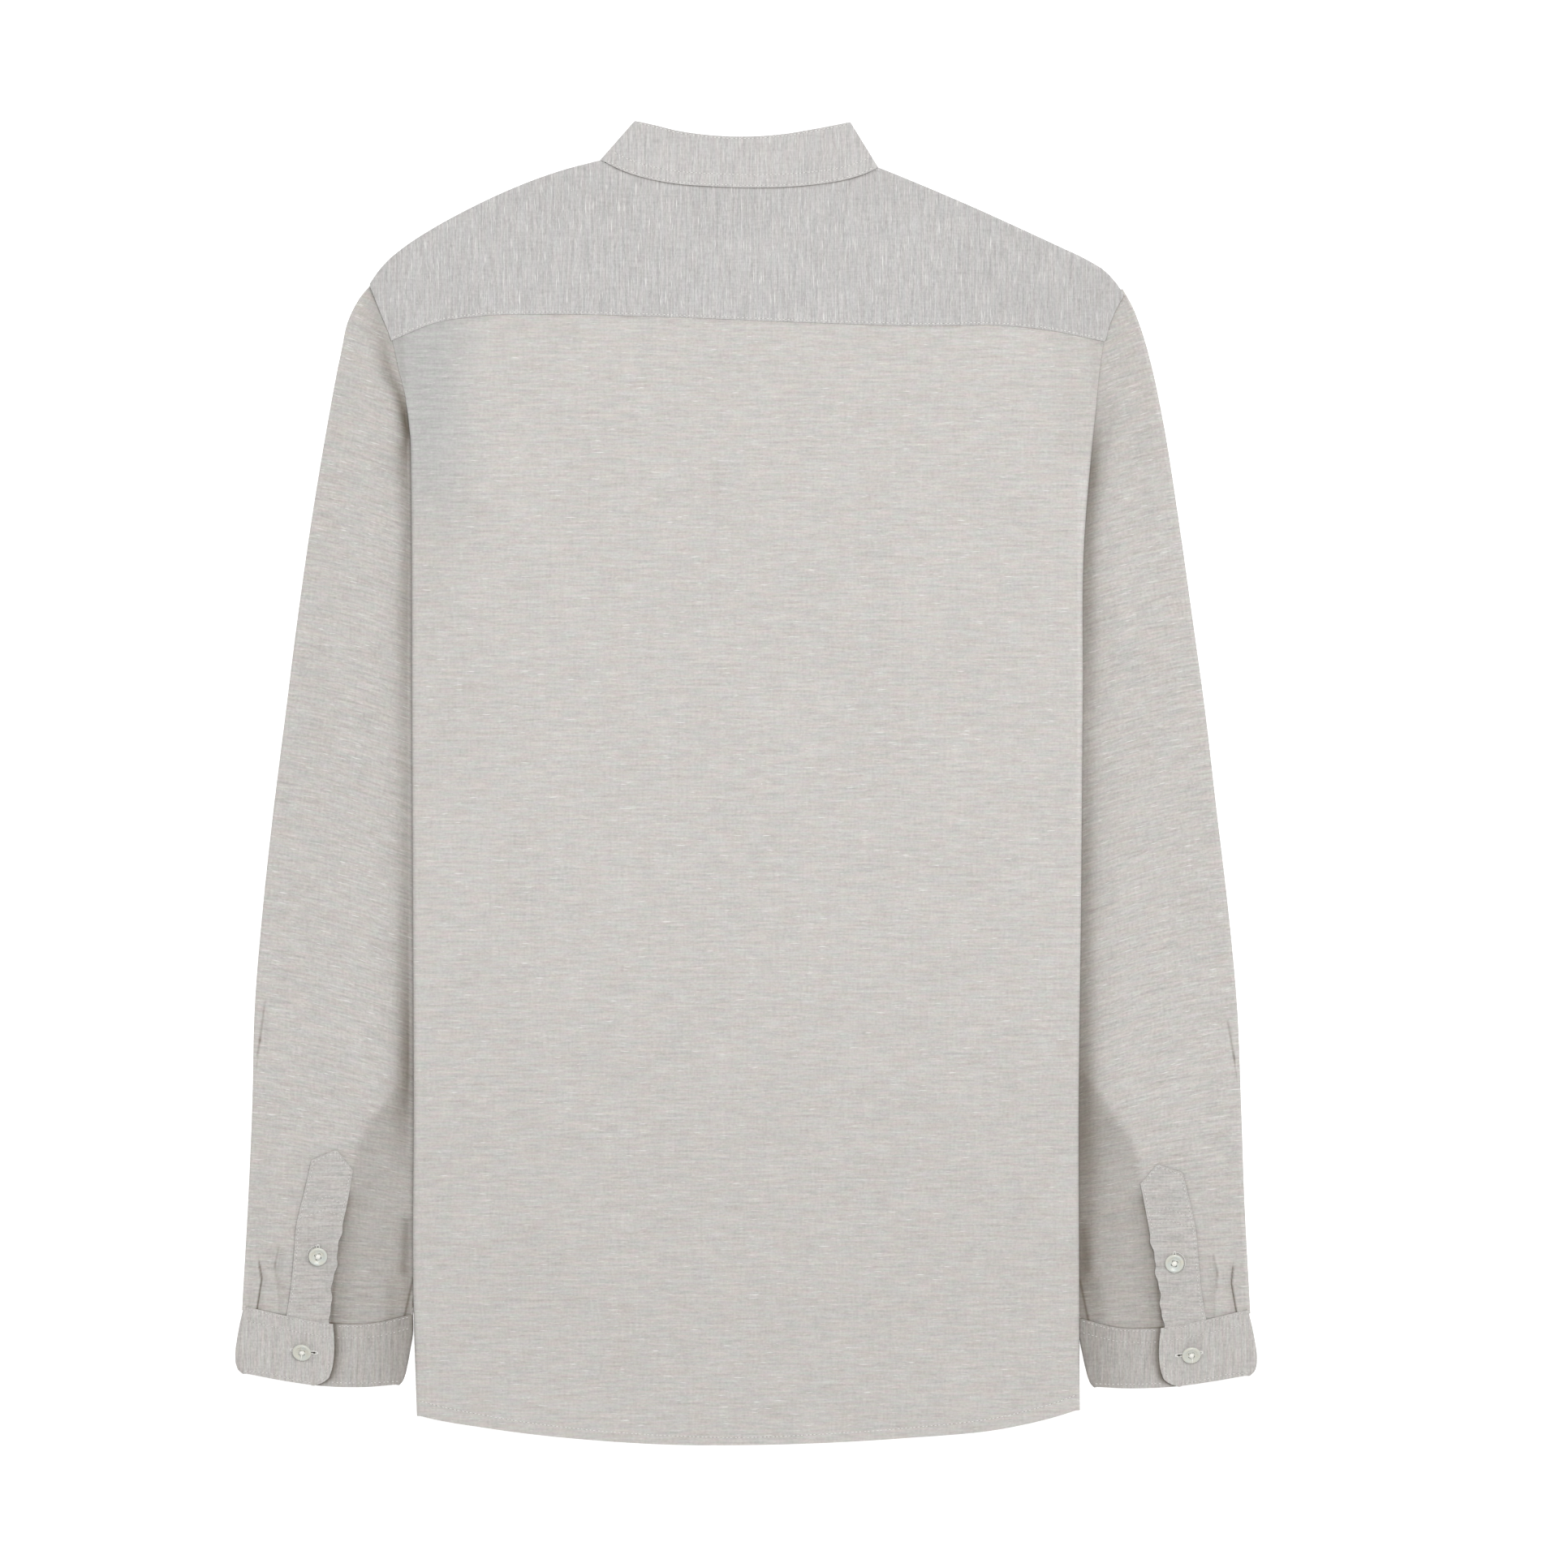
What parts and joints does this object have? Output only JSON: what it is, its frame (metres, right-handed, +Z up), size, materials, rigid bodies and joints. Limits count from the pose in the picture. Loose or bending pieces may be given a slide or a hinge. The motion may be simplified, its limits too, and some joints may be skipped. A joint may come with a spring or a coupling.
{
  "type": "mandarin collar shirt",
  "caption": "Long-sleeved linen shirt with a mandarin stand collar, laid face down with its sides tucked under and its sleeves down beside it.",
  "frame": {"origin": "centre of the garment's outline, on the surface it lies on", "axes": "+Y from the hem to the collar, +Z up out of the surface, +X to the right of the back as seen from above"},
  "size_m": [0.6158, 0.7991, 0.0085],
  "materials": {
    "body_cloth": "fine slubbed linen, light grey-beige, matt",
    "yoke_cloth": "fine slubbed linen, light grey, matt",
    "cuff_cloth": "fine slubbed linen, light grey-beige, matt",
    "button": "pearly off-white, gloss"
  },
  "bodies": {
    "root": {"back": "body_cloth", "front_left": "body_cloth", "front_right": "body_cloth", "front_placket": "body_cloth", "sleeve_left": "body_cloth", "sleeve_right": "body_cloth", "gauntlet_left": "body_cloth", "gauntlet_right": "body_cloth", "yoke": "yoke_cloth", "collar": "yoke_cloth", "cuff_left": "cuff_cloth", "cuff_right": "cuff_cloth", "button_collar": "button", "button_front_1": "button", "button_front_2": "button", "button_front_3": "button", "button_front_4": "button", "button_front_5": "button", "button_front_6": "button", "button_cuff_left": "button", "button_cuff_right": "button", "button_gauntlet_left": "button", "button_gauntlet_right": "button"}
  },
  "joints": []
}
